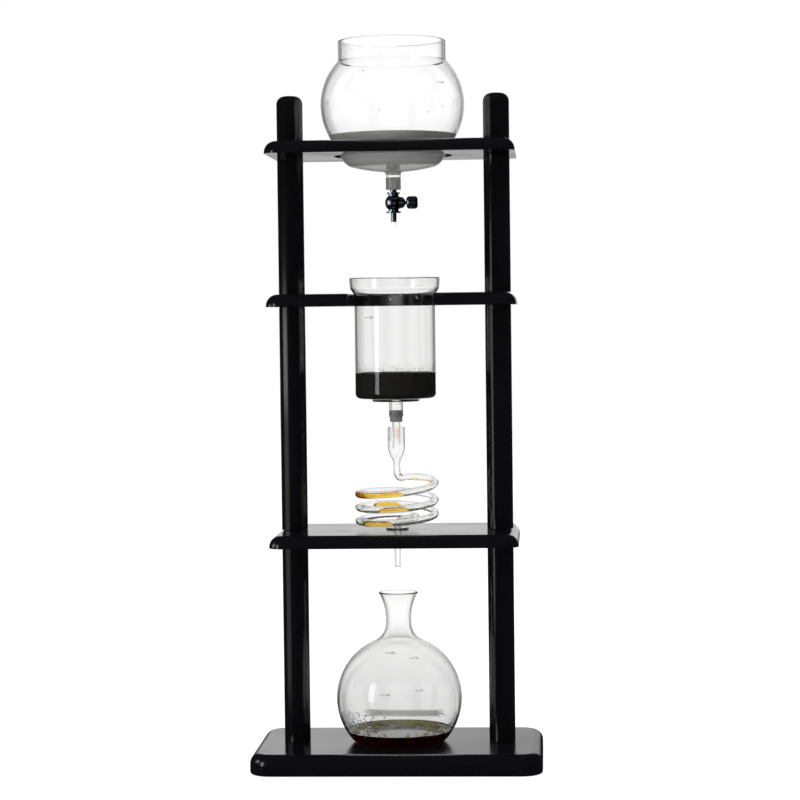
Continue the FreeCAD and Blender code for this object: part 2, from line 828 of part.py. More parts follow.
# ---------------------------------------------------------------- flask
def flask_form(inset):
    """Round flask with a flat foot and a flared neck, as a full body, its surface set in by an amount."""
    globe = at(0, flask_centre_height)
    drop = flask_centre_height - flask_knuckle
    foot = at(math.sqrt((flask_radius - flask_knuckle) ** 2 - drop**2), flask_knuckle)
    foot_angle = -math.degrees(math.atan2(drop, foot.x))
    rise = flask_neck_start - flask_centre_height
    blend = (flask_neck_radius**2 + rise**2 - flask_radius**2) / (2 * (flask_radius - flask_neck_radius))
    shoulder = at(flask_neck_radius + blend, flask_neck_start)
    shoulder_end = math.degrees(math.atan2(rise, shoulder.x))
    flare = at(flask_neck_radius + flask_flare_arc, flask_neck_end)
    flare_end = 180 - math.degrees(math.asin((flask_height - flask_neck_end) / (flask_flare_arc + inset)))
    return turned(
        at(0, inset),
        arc(foot, flask_knuckle - inset, -90, foot_angle),
        arc(globe, flask_radius - inset, foot_angle, shoulder_end),
        arc(shoulder, blend + inset, shoulder_end + 180, 180),
        arc(flare, flask_flare_arc + inset, 180, flare_end),
        at(0, flask_height),
    )


def flask():
    glass = flask_form(0).cut(flask_form(flask_wall))
    glass = glass.makeFillet(flask_rim_round, edges_at_height(glass, flask_height))
    return raised(glass, base_thickness)


# ---------------------------------------------------------------- assembly
def all_pieces():
    pieces = {
        "base_board": base_board(),
        "coil_shelf": coil_shelf(),
        "chamber_shelf": chamber_shelf(),
        "bowl_shelf": bowl_shelf(),
        "post_inserts": post_inserts(),
        "shelf_studs": shelf_studs(),
        "base_screws": base_screws(),
        "coil_grommet": coil_grommet(),
        "water_bowl": water_bowl(),
        "bowl_stopper": bowl_stopper(),
        "valve_body": valve_body(),
        "valve_packing": valve_packing(),
        "valve_bonnet": valve_bonnet(),
        "valve_needle": valve_needle(),
        "valve_knob": valve_knob(),
        "valve_nozzle": valve_nozzle(),
        "coffee_chamber": coffee_chamber(),
        "filter_seal": filter_seal(),
        "filter_disc": filter_disc(),
        "stem_stopper": stem_stopper(),
        "drip_tube": drip_tube(),
        "coil": coil(),
        "flask": flask(),
    }
    pieces.update(posts())
    return pieces


os.makedirs("parts", exist_ok=True)
for node, shape in all_pieces().items():
    shape.exportStep("parts/" + node + ".step")
    box = shape.BoundBox
    print(node, "valid" if shape.isValid() else "NOT VALID", len(shape.Solids), "solid(s),", end=" ")
    print("z", round(box.ZMin, 2), "to", round(box.ZMax, 2), "volume", round(shape.Volume / 1000, 2), "ml")
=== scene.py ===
"""Looks of the cold drip coffee tower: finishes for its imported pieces, smooth glass for its coil,
its contents and the studio round it.

Sizes are millimetres in the part's own frame, +Z up and the front towards -Y. Meshes turn them into metres.
The studio's floor, lamps and camera are in metres from the start.
Headings run round the Z axis in degrees, 0 at the front and positive towards the right.
"""

import bpy
import bmesh
import json
import math
import random
from mathutils import Matrix, Vector, noise
from mathutils.bvhtree import BVHTree


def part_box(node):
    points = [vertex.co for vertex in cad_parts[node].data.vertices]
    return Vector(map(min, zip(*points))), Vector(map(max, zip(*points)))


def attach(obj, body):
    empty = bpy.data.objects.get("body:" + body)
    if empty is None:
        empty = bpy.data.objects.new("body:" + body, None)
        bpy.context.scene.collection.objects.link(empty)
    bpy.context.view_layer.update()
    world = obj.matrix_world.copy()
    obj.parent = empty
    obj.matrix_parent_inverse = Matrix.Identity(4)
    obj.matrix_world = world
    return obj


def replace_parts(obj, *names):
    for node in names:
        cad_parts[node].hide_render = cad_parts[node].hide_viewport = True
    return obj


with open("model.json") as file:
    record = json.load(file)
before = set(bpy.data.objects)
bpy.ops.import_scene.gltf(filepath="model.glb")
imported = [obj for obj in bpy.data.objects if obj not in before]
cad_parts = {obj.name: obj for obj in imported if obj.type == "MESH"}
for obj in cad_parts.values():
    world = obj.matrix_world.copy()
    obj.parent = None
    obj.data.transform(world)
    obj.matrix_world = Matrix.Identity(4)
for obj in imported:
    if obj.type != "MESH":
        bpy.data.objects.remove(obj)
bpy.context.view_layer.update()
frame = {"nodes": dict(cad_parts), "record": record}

MM = 0.001
TINY = 1e-6
chance = random.Random(7)

# ---------------------------------------------------------------- contents
bite = 0.25  # how far wet contents reach into the glass that holds them, as wetted glass shows them
water_level = 611.5
bubble_over_stopper = 4.0
bubble_skirt = [(0.0, 0.0), (0.6, -0.3), (0.9, -0.9), (1.0, -1.5), (1.0, 1.5)]  # shares of the bore, heights
stem_flare = (3.0, 4.0)  # how far out from the bubble's edge and up the water's lowest line starts
bed_level = 381.0
bed_gap = 0.1  # between the coffee bed and the filter
bed_lumps = [(0.12, 0.7), (0.7, 0.45), (2.1, 0.3)]  # scale and height of the noise on the bed's top
bed_lowest = -58  # slope of the lowest line that finds the wall round the bed
residue_count = 560
residue_spread = 3.4
residue_high = (8, 26)  # over the bed, of the few grounds that stick far above it
brew_level = 31.0
froth_count = 320
froth_reach = 47.0
film_dip = 0.02  # of a film's back into the wall
film_least = 0.01  # thickness at its rim
film_ragged = 0.25  # share by which its ends wander
meniscus_rise = 1.1
meniscus_width = 3.0
meniscus_steps = 8

# ---------------------------------------------------------------- cooling coil
tube_radius = 3.6
tube_wall = 1.3
loop_radius = 37.5
loop_pitch = 13.1
loop_sweep = 1007.0  # degrees round the loops
level_sweep = 93.0  # last part of the sweep, which runs level
first_drop = 4.0  # extra fall of the first half turn
loop_lean = 4.5  # degrees by which the loops tip down at the front
arm_length = 15.0
arm_heading = 60.0  # the inlet arm's direction, from +X towards +Y
arm_fall = 3.0
inlet_bend = 8.0
outlet_bend = 7.0
elbow_height = 8.8  # of the outlet arm's axis above the coil shelf
neck_height = 14.7  # of the receiver's neck above the inlet arm
neck_length = 5.0
neck_radius = 4.6
belly_radius = 8.65
mouth_radius = 8.4
receiver_taper = 12.7
outlet_tip_radius = 3.1
rim_round = 0.45
loop_step = 3  # degrees between the points of the loops
axis_spacing = 1.0
axis_smoothings = 6
fill_share = 0.86  # how high the coffee stands in the tube's bore
slug_floor = -0.96  # lowest top of a slug of coffee, between -1 and 1 across the bore
slug_slant = 0.5  # share of its height from which a slug rises
slug_tip = 0.55  # share of that which is left at its very ends
slug_taper = 4  # points from its end to its full height

# ---------------------------------------------------------------- stoppers and marks
spigot_radius = 3.1
bowl_bung_edge = 0.6
stem_bung_edge = 0.5
stem_bung_step = 0.4
numeral_height = 2.2
capital_share = 0.7  # of a letter's size that its numerals are high
print_thickness = 0.05
mark_line = 4.5
mark_stroke = 0.45
mark_gap = 0.8  # between a mark's line and its numerals

# ---------------------------------------------------------------- studio, in metres
# Fades are (start, end): the floor's along Y or |X| / |Y|, the world's in parts of a direction.
floor_half = 6.0
floor_glow = 0.7  # added to the lit floor for the eye
glass_glow = (0.26, 0.65)  # added for glass, near the tower and far off
glass_glow_fade = (0.4, 1.2)
sheen = 0.95  # of the floor behind the tower, in gloss
sheen_rise = (-0.05, 0.5)
sheen_width = (0.14, 0.3)
far_sheen = 0.35  # share of the sheen that stays far off
sheen_fall = (1.2, 2.2)
wedge_start = (0.25, 0.75)
wedge_end = (0.8, 1.0)
least_depth = 0.02
plain_light = 0.5
front_gloss = 0.012  # what gloss shows where nothing bright stands
gloss_top = (0.3, 0.45)
gloss_depth = (0.2, 0.6)
gloss_width = (0.14, 0.28)
gloss_slope = 1.2  # the gloss dims towards its upper right, across a line of this slope
gloss_corner = (0.1, 0.21)
corner_share = 0.6
horizon = (-0.05, -0.02)
below_share = 0.64
side_view = 0.24  # what glass shows to the sides
view_ahead = (0.5, 0.93)
view_width = (0.13, 0.46)
wide_view = 0.8  # what it shows still further to the sides
wide_start = (0.6, 0.7)
upper_view = 0.14
view_rise = (0.02, 0.09)
camera_place = (0.147, -2.416, 0.441)
camera_aim = (0.0040, 0.0, 0.3541)
camera_lens = 111.7
camera_roll = -0.69
most_bounces = 16


# ---------------------------------------------------------------- shader helpers
def new_material(name, **inputs):
    """A material with one Principled shader, whose inputs are set by name."""
    material = bpy.data.materials.new(name)
    material.use_nodes = True
    tree = material.node_tree
    shader = next(n for n in tree.nodes if n.type == "BSDF_PRINCIPLED")
    for key, value in inputs.items():
        shader.inputs[key.replace("_", " ")].default_value = value
    return material, tree, shader


def feed(tree, socket, value):
    """Gives a socket a value, or links it to the socket that feeds it."""
    if isinstance(value, bpy.types.NodeSocket):
        tree.links.new(value, socket)
    else:
        socket.default_value = value


def add_node(tree, kind, settings=None, **inputs):
    """A node of a kind, its inputs given by name as values or as the sockets that feed them."""
    made = tree.nodes.new(kind)
    for key, value in (settings or {}).items():
        setattr(made, key, value)
    for key, value in inputs.items():
        feed(tree, made.inputs[key.replace("_", " ")], value)
    return made


def calculated(tree, operation, *values):
    made = add_node(tree, "ShaderNodeMath", {"operation": operation})
    for socket, value in zip(made.inputs, values):
        feed(tree, socket, value)
    return made.outputs[0]


def product(tree, first, *others):
    for other in others:
        first = calculated(tree, "MULTIPLY", first, other)
    return first


def parts_of(tree, vector):
    return add_node(tree, "ShaderNodeSeparateXYZ", Vector=vector).outputs


def own_place(tree):
    return add_node(tree, "ShaderNodeTexCoord").outputs["Object"]


def stretched_noise(tree, scale, stretch=(1, 1, 1), detail=4.0):
    """Noise over the piece's own coordinates, stretched by a factor along each axis."""
    mapping = add_node(tree, "ShaderNodeMapping", Vector=own_place(tree), Scale=stretch)
    place = mapping.outputs["Vector"]
    made = add_node(tree, "ShaderNodeTexNoise", Vector=place, Scale=scale, Detail=detail, Roughness=0.55)
    return made.outputs["Fac"]


def cells(tree, scale):
    """Distance to the middle of a cell, for grains and pores."""
    return add_node(tree, "ShaderNodeTexVoronoi", Vector=own_place(tree), Scale=scale).outputs["Distance"]


def remapped(tree, value, low, high, start=0.3, end=0.7):
    """A value between start and end spread over low to high, and held there outside."""
    made = add_node(
        tree, "ShaderNodeMapRange", Value=value, From_Min=start, From_Max=end, To_Min=low, To_Max=high
    )
    return made.outputs["Result"]


def blended(tree, factor, first, second):
    """A colour between two colours."""
    made = add_node(tree, "ShaderNodeMix", {"data_type": "RGBA"})
    for index, value in ((0, factor), (6, first), (7, second)):
        feed(tree, made.inputs[index], value)
    return made.outputs[2]


def between(tree, factor, first, second):
    """A number between two numbers."""
    return add_node(tree, "ShaderNodeMix", Factor=factor, A=first, B=second).outputs["Result"]


def colour_between(tree, shader, factor, first, second):
    feed(tree, shader.inputs["Base Color"], blended(tree, factor, first, second))


def bump(tree, shader, height, depth, under=None):
    """Feeds the shader a normal raised by a height between 0 and 1 over a depth in millimetres."""
    made = add_node(tree, "ShaderNodeBump", Height=height, Distance=depth * MM)
    if under is not None:
        feed(tree, made.inputs["Normal"], under)
    feed(tree, shader.inputs["Normal"], made.outputs["Normal"])
    return made.outputs["Normal"]


def output_of(tree):
    return next(n for n in tree.nodes if n.type == "OUTPUT_MATERIAL")


def mix_surface(tree, factor, first, second):
    """Shows the first shader where the factor is 0 and the second where it is 1."""
    mix = add_node(tree, "ShaderNodeMixShader")
    for index, value in enumerate((factor, first, second)):
        feed(tree, mix.inputs[index], value)
    feed(tree, output_of(tree).inputs["Surface"], mix.outputs["Shader"])


# ---------------------------------------------------------------- materials
def lacquer(name, along):
    """High-gloss black lacquer over turned or routed wood, whose grain shows faintly along one axis."""
    material, tree, shader = new_material(name, IOR=1.5)
    grain_stretch = [26.0, 26.0, 26.0]
    grain_stretch[along] = 1.0
    grain = stretched_noise(tree, 22.0, grain_stretch, detail=6.0)
    cloud = stretched_noise(tree, 14.0)
    dust = stretched_noise(tree, 900.0, detail=1.0)
    streak = remapped(tree, grain, 0, 1)
    colour_between(tree, shader, streak, (0.0042, 0.0045, 0.006, 1), (0.0068, 0.0069, 0.0084, 1))
    gloss = calculated(
        tree, "ADD", remapped(tree, cloud, 0.12, 0.2), remapped(tree, dust, 0.0, 0.12, 0.68, 0.78)
    )
    feed(tree, shader.inputs["Roughness"], gloss)
    peel = stretched_noise(tree, 160.0, detail=2.0)
    fine = bump(tree, shader, peel, 0.01)
    bump(tree, shader, grain, 0.025, under=fine)
    return material


def let_lamps_through(tree, shader, tint):
    """Lamps shine through the surface, tinted, in place of the dark shadow of a solid piece."""
    lamp_ray = add_node(tree, "ShaderNodeLightPath").outputs["Is Shadow Ray"]
    clear = add_node(tree, "ShaderNodeBsdfTransparent", Color=tint)
    mix_surface(tree, lamp_ray, shader.outputs["BSDF"], clear.outputs["BSDF"])


def absorbing(tree, colour, density):
    inside = add_node(tree, "ShaderNodeVolumeAbsorption", Color=colour, Density=density)
    feed(tree, output_of(tree).inputs["Volume"], inside.outputs["Volume"])


def glass(name, density, wobble=0.0):
    """Clear blown glass: a faint grey body and, on the big pieces, a hand-blown wobble."""
    material, tree, shader = new_material(name, Roughness=0.0, IOR=1.47, Transmission_Weight=1.0)
    shader.inputs["Base Color"].default_value = (1, 1, 1, 1)
    if wobble:
        bump(tree, shader, stretched_noise(tree, 42.0, (1, 1, 0.6), detail=1.5), wobble)
    absorbing(tree, (0.715, 0.725, 0.7, 1), density)
    let_lamps_through(tree, shader, (0.93, 0.94, 0.93, 1))
    return material


def liquid(name, index, colour, density, shade, roughness=0.0):
    """A clear liquid that takes its colour from its depth, and tints the lamps' light with its shade."""
    material, tree, shader = new_material(name, Roughness=roughness, IOR=index, Transmission_Weight=1.0)
    shader.inputs["Base Color"].default_value = (1, 1, 1, 1)
    absorbing(tree, colour, density)
    let_lamps_through(tree, shader, shade)
    return material


def water_painted_grey():
    """Water painted grey, a little cloudy and with no clear view through it: its grey stands in for the dark
    surroundings it refracts.
    """
    material, tree, shader = new_material("water", Roughness=0.42, IOR=1.333, Transmission_Weight=0.1)
    cloud = remapped(tree, stretched_noise(tree, 24.0), 0, 1)
    # painted shade: this grey base colour stands in for the dark room the water refracts, not a tint of the
    # water itself
    colour_between(tree, shader, cloud, (0.58, 0.575, 0.56, 1), (0.63, 0.625, 0.61, 1))
    absorbing(tree, (0.6, 0.595, 0.585, 1), 5.0)
    let_lamps_through(tree, shader, (0.9, 0.92, 0.92, 1))
    return material


def black_chrome():
    """Polished black plating with hairlines and a few worn, brighter spots."""
    material, tree, shader = new_material("black_chrome", Metallic=1.0)
    wear = stretched_noise(tree, 420.0, detail=5.0)
    worn = remapped(tree, wear, 0, 1, 0.64, 0.8)
    colour_between(tree, shader, worn, (0.075, 0.08, 0.1, 1), (0.2, 0.19, 0.17, 1))
    lines = stretched_noise(tree, 300.0, (1, 1, 30))
    feed(tree, shader.inputs["Roughness"], remapped(tree, lines, 0.2, 0.3))
    bump(tree, shader, lines, 0.006)
    return material


def silicone(name, light, dark, roughness):
    """Moulded silicone: soft sheen, faint mottling and a fine matt skin."""
    material, tree, shader = new_material(
        name, IOR=1.42, Subsurface_Weight=0.15, Subsurface_Scale=0.002, Subsurface_Radius=(1.0, 0.9, 0.8)
    )
    cloud = stretched_noise(tree, 180.0)
    colour_between(tree, shader, remapped(tree, cloud, 0, 1), light, dark)
    feed(tree, shader.inputs["Roughness"], remapped(tree, cloud, roughness, roughness + 0.15))
    bump(tree, shader, stretched_noise(tree, 2500.0, detail=2.0), 0.02)
    return material


def stained_ceramic():
    """Porous filter ceramic, soaked and stained by coffee."""
    material, tree, shader = new_material("filter_ceramic", Roughness=0.62)
    stain = remapped(tree, stretched_noise(tree, 90.0), 0, 1)
    colour_between(tree, shader, stain, (0.012, 0.008, 0.006, 1), (0.05, 0.032, 0.02, 1))
    bump(tree, shader, cells(tree, 1500.0), 0.08)
    return material


def metal(name, colour, tarnish, roughness):
    """Machined metal with turning lines and a little tarnish."""
    material, tree, shader = new_material(name, Metallic=1.0)
    cloud = stretched_noise(tree, 160.0)
    colour_between(tree, shader, remapped(tree, cloud, 0, 1), colour, tarnish)
    lines = stretched_noise(tree, 90.0, (1, 1, 60))
    feed(tree, shader.inputs["Roughness"], remapped(tree, lines, roughness, roughness + 0.14))
    bump(tree, shader, lines, 0.01)
    return material


def wet_grounds(name, light, dark, depth):
    """Soaked ground coffee: granular, with a wet shine."""
    material, tree, shader = new_material(name, IOR=1.4)
    grain = cells(tree, 1400.0)
    cloud = remapped(tree, stretched_noise(tree, 120.0), 0, 1)
    colour_between(tree, shader, cloud, light, dark)
    feed(tree, shader.inputs["Roughness"], remapped(tree, grain, 0.42, 0.7, 0.0, 0.6))
    bump(tree, shader, grain, depth)
    return material


def grey_enamel():
    """Fired-on print of the measuring marks, a little worn."""
    material, tree, shader = new_material("grey_enamel", Roughness=0.55)
    wear = remapped(tree, stretched_noise(tree, 900.0), 0, 1)
    colour_between(tree, shader, wear, (0.1, 0.105, 0.105, 1), (0.2, 0.2, 0.2, 1))
    return material


def bubble_skin():
    """Skin of the froth's bubbles: nearly clear, gold to grey."""
    material, tree, shader = new_material("bubble_skin", Roughness=0.06, IOR=1.2, Transmission_Weight=0.8)
    cloud = remapped(tree, stretched_noise(tree, 260.0), 0, 1)
    colour_between(tree, shader, cloud, (0.66, 0.6, 0.2, 1), (0.88, 0.87, 0.7, 1))
    return material


# ---------------------------------------------------------------- mesh helpers
def in_scene(name, mesh, material):
    """An object of a finished mesh, put into the scene."""
    mesh.materials.append(material)
    made = bpy.data.objects.new(name, mesh)
    bpy.context.scene.collection.objects.link(made)
    return made


def new_piece(name, points, faces, material, body, sharp=40.0):
    """A closed piece of points in millimetres that rides on a body, smooth but for edges sharper than sharp."""
    mesh = bpy.data.meshes.new(name)
    mesh.from_pydata([Vector(point) * MM for point in points], [], faces)
    shape = bmesh.new()
    shape.from_mesh(mesh)
    bmesh.ops.recalc_face_normals(shape, faces=shape.faces)
    if shape.calc_volume(signed=True) < 0:
        bmesh.ops.reverse_faces(shape, faces=shape.faces)
    shape.to_mesh(mesh)
    shape.free()
    mesh.shade_smooth()
    mesh.set_sharp_from_angle(angle=math.radians(sharp))
    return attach(in_scene(name, mesh, material), body)


def skin(rings, closed=False):
    """Quads, and triangles at single points, between rings of vertex numbers that run round the same way."""
    faces = []
    for low, high in zip(rings, rings[1:] + rings[:1] if closed else rings[1:]):
        count = max(len(low), len(high))
        for i in range(count):
            j = (i + 1) % count
            if len(low) == 1:
                faces.append((low[0], high[j], high[i]))
            elif len(high) == 1:
                faces.append((low[i], low[j], high[0]))
            else:
                faces.append((low[i], low[j], high[j], high[i]))
    return faces


def lathe(profile, segments=144):
    """Points and rings of a profile of radii and heights turned about Z."""
    points, rings = [], []
    for radius, height in profile:
        count = 1 if radius < TINY else segments
        rings.append(list(range(len(points), len(points) + count)))
        for step in range(count):
            angle = 2 * math.pi * step / count
            points.append((radius * math.cos(angle), radius * math.sin(angle), height))
    return points, rings


def surface_of(node):
    """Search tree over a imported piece's surface."""
    mesh = frame["nodes"][node].data
    corners = [vertex.co for vertex in mesh.vertices]
    return BVHTree.FromPolygons(corners, [polygon.vertices for polygon in mesh.polygons])


def reach(tree, height, slope=0.0):
    """Radius and height at which a line from the axis, rising at a slope, has gone bite deep into a wall."""
    lean = math.radians(slope)
    way = Vector((math.cos(lean), 0, math.sin(lean)))
    distance = tree.ray_cast(Vector((0, 0, height * MM)), way)[3]
    length = distance / MM + bite
    return length * math.cos(lean), height + length * math.sin(lean)


def way_out(heading):
    angle = math.radians(heading)
    return Vector((math.sin(angle), -math.cos(angle), 0))


def outside(tree, heading, height):
    """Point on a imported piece's outside."""
    far = 200.0
    way = way_out(heading)
    return tree.ray_cast((way * far + Vector((0, 0, height))) * MM, -way)[0] / MM


def inner_point(tree, heading, height):
    """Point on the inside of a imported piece's wall, and the way from it towards the axis."""
    way = way_out(heading)
    return tree.ray_cast(Vector((0, 0, height * MM)), way)[0] / MM, -way


def liquid_top(wall_radius, level, rings=10):
    """Profile of a liquid's surface from its raised edge at a wall to the axis."""
    profile = []
    for step in range(1, meniscus_steps + 1):
        share = step / meniscus_steps
        profile.append((wall_radius - meniscus_width * share, level + meniscus_rise * (1 - share) ** 3))
    inner = wall_radius - meniscus_width
    return profile + [(inner * (1 - step / rings), level) for step in range(1, rings + 1)]


def topped_up(tree, profile, level):
    """Points and rings of a liquid: its profile along the wall, its raised edge and its surface."""
    edge = profile[-1][0]
    raised = level + meniscus_rise
    return lathe(profile + [(reach(tree, raised)[0], raised)] + liquid_top(edge, level))


def beads(name, places, material, body, squash=1.0, detail=1):
    """Little round beads as one piece; each place is a centre, a radius and the way it is squashed along."""
    shape = bmesh.new()
    for centre, radius, way in places:
        turn = Vector((0, 0, 1)).rotation_difference(way).to_matrix().to_4x4()
        size = Matrix.Diagonal((radius * MM, radius * MM, radius * squash * MM, 1))
        bmesh.ops.create_icosphere(
            shape, subdivisions=detail, radius=1.0, matrix=Matrix.Translation(centre * MM) @ turn @ size
        )
    mesh = bpy.data.meshes.new(name)
    shape.to_mesh(mesh)
    shape.free()
    mesh.shade_smooth()
    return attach(in_scene(name, mesh, material), body)


def top_of(node):
    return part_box(node)[1].z / MM


def bottom_of(node):
    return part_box(node)[0].z / MM


def radius_of(node):
    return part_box(node)[1].x / MM


# ---------------------------------------------------------------- stoppers
def bung(name, node, profile, material, body):
    """A packed stopper again, pressed against its glass so that it shows through it."""
    points, rings = lathe(profile, 96)
    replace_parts(new_piece(name, points, skin(rings, closed=True), material, body, sharp=50), node)


def bowl_bung(material):
    tree = surface_of("water_bowl")
    bottom, top = bottom_of("bowl_stopper"), top_of("bowl_stopper")
    outer = reach(tree, (bottom + top) / 2)[0]
    hole, edge = spigot_radius, bowl_bung_edge
    profile = [(hole, bottom), (outer, bottom), (outer, top - edge), (outer - edge, top), (hole, top)]
    bung("bowl_bung", "bowl_stopper", profile, material, "bowl")


def stem_bung(material):
    tree = surface_of("coffee_chamber")
    bottom, top = bottom_of("stem_stopper"), top_of("stem_stopper")
    flange, hole = radius_of("stem_stopper"), radius_of("drip_tube")
    flange_top = bottom_of("coffee_chamber")
    inner = reach(tree, top - 1.0)[0]
    edge = stem_bung_edge
    profile = [
        (hole, bottom),
        (flange - edge, bottom),
        (flange, bottom + edge),
        (flange, flange_top - edge),
        (flange - stem_bung_step, flange_top),
        (inner, flange_top),
        (inner, top),
        (hole, top),
    ]
    bung("stem_bung", "stem_stopper", profile, material, "chamber")


# ---------------------------------------------------------------- contents of bowl, chamber and flask
def water_in_bowl(material):
    """Water from the bowl's stem up to its level, over a bubble trapped above the stopper."""
    tree = surface_of("water_bowl")
    stem_bottom = top_of("bowl_stopper") + bubble_over_stopper
    bore = reach(tree, stem_bottom)[0]
    profile = [(bore * share, stem_bottom + height) for share, height in bubble_skirt]
    steps = 56
    out, up = stem_flare
    lowest = math.degrees(math.atan2(stem_bottom + up - water_level, bore + out))
    profile += [reach(tree, water_level, lowest * (1 - step / steps)) for step in range(steps + 1)]
    points, rings = topped_up(tree, profile, water_level)
    return new_piece("water", points, skin(rings), material, "bowl")


def coffee_bed(material):
    """Soaked grounds on the filter, with an uneven top."""
    tree = surface_of("coffee_chamber")
    filter_top = top_of("filter_disc") + bed_gap
    filter_edge = radius_of("filter_disc") + bed_gap
    centre = (filter_top + bed_level) / 2
    steps = 48
    corner = [reach(tree, centre, bed_lowest - bed_lowest * step / steps) for step in range(steps + 1)]
    corner = [(radius, height) for radius, height in corner if radius > filter_edge + 1.0]
    wall = corner[-1][0]
    profile = [(0, filter_top), (filter_edge, filter_top), (filter_edge + 0.2, corner[0][1])] + corner
    profile += [(wall, centre + (bed_level - centre) * step / 4) for step in range(1, 5)]
    rings_up = 30
    profile += [(wall * (1 - step / rings_up), bed_level) for step in range(1, rings_up + 1)]
    points, rings = lathe(profile, 120)
    rough = []
    for x, y, z in points:
        if z > bed_level - TINY:
            place = Vector((x, y, 0))
            z += sum(height * noise.noise(place * scale) for scale, height in bed_lumps)
        rough.append((x, y, z))
    return new_piece("coffee_bed", rough, skin(rings), material, "chamber", sharp=70)


def residue(material):
    """Grounds left sticking to the chamber's wall above the bed."""
    tree = surface_of("coffee_chamber")
    places = []
    for _ in range(residue_count):
        height = bed_level + 0.8 + abs(chance.gauss(0, residue_spread))
        if chance.random() < 0.04:
            height = bed_level + chance.uniform(*residue_high)
        point, way = inner_point(tree, chance.uniform(0, 360), height)
        size = chance.uniform(0.12, 0.36) if chance.random() < 0.95 else chance.uniform(0.36, 0.55)
        places.append((point + way * size * 0.3, size, way))
    return beads("residue", places, material, "chamber", squash=0.6)


def brew_in_flask(material):
    """Finished coffee in the bottom of the flask."""
    tree = surface_of("flask")
    steps = 44
    profile = [reach(tree, brew_level, -90 + 90 * step / steps) for step in range(steps + 1)]
    profile[0] = (0, profile[0][1])
    points, rings = topped_up(tree, profile, brew_level)
    return new_piece("brewed_coffee", points, skin(rings), material, "flask")


def froth(material):
    """Bubbles on the coffee in the flask, thickest along its back."""
    places = []
    for _ in range(froth_count):
        angle = math.radians(chance.gauss(180, 62))
        share = 1 - abs(chance.gauss(0, 0.22))
        radius = max(6.0, froth_reach * share)
        size = min(2.4, 0.45 + abs(chance.gauss(0, 0.75)))
        centre = Vector((radius * math.sin(angle), -radius * math.cos(angle), brew_level + size * 0.35))
        places.append((centre, size, Vector((0, 0, 1))))
    return beads("froth", places, material, "flask", squash=0.8, detail=2)


def droplets(name, node, body, count, heading, spread, heights, sizes, material):
    """Clear droplets on the inside of a wall, in a patch round a heading."""
    tree = surface_of(node)
    places = []
    for _ in range(count):
        point, way = inner_point(tree, chance.gauss(heading, spread), chance.uniform(*heights))
        size = chance.uniform(*sizes)
        places.append((point + way * size * 0.15, size, way))
    return beads(name, places, material, body, squash=0.45, detail=2)


def seed_place(heading, height, radius):
    """Centre, radius and flat way of a seed just inside the bowl's outer skin."""
    point = outside(surface_of("water_bowl"), heading, height)
    out = Vector((point.x, point.y, 0)).normalized()
    return point - out * (radius * 0.6 + 0.2), radius, out


def film(name, node, body, heading, spread, heights, thickness, material, end_rise=0.0):
    """Wet film on the inside of a wall, round a heading and between two heights.

    It thins out at its rim, its ends are ragged, and they may rise above its middle.
    """
    tree = surface_of(node)
    bow = 1 - math.cos(math.radians(spread))
    columns, rows = 28, 14
    outer, inner = [], []
    for row in range(rows + 1):
        for column in range(columns + 1):
            side = 2 * column / columns - 1
            ragged = 1 + film_ragged * noise.noise(Vector((column * 0.4, row * 0.35, heading)))
            height = heights[0] + (heights[1] - heights[0]) * row / rows
            height += end_rise * (1 - math.cos(math.radians(spread * side))) / bow
            point, way = inner_point(tree, heading + spread * side * ragged, height)
            edge = min(1.0, 4 * (1 - abs(side)), row / 3, (rows - row) / 3)
            outer.append(point - way * film_dip)
            inner.append(point + way * (film_least + thickness * edge))
    width = columns + 1
    count = len(outer)
    faces = []
    for row in range(rows):
        for column in range(columns):
            a = row * width + column
            quad = (a, a + 1, a + 1 + width, a + width)
            faces += [quad, tuple(count + number for number in reversed(quad))]
    rim = list(range(width)) + [row * width + columns for row in range(1, rows + 1)]
    rim += [rows * width + column for column in range(columns - 1, -1, -1)]
    rim += [row * width for row in range(rows - 1, 0, -1)]
    for a, b in zip(rim, rim[1:] + rim[:1]):
        faces.append((a, a + count, b + count, b))
    return new_piece(name, outer + inner, faces, material, body, sharp=80)


def hanging_drop(name, point, radius, length, material, body):
    """A drop that hangs from a point, widest below its middle."""
    steps = 14
    profile = []
    for step in range(steps + 1):
        share = step / steps
        wide = math.sin(math.pi * share) ** 0.75 * (0.62 + 0.38 * math.cos(math.pi * (share - 0.12)))
        profile.append((radius * wide if 0 < step < steps else 0.0, -length * (1 - share)))
    points, rings = lathe(profile, 32)
    points = [Vector(p) + Vector(point) for p in points]
    return new_piece(name, points, skin(rings), material, body)


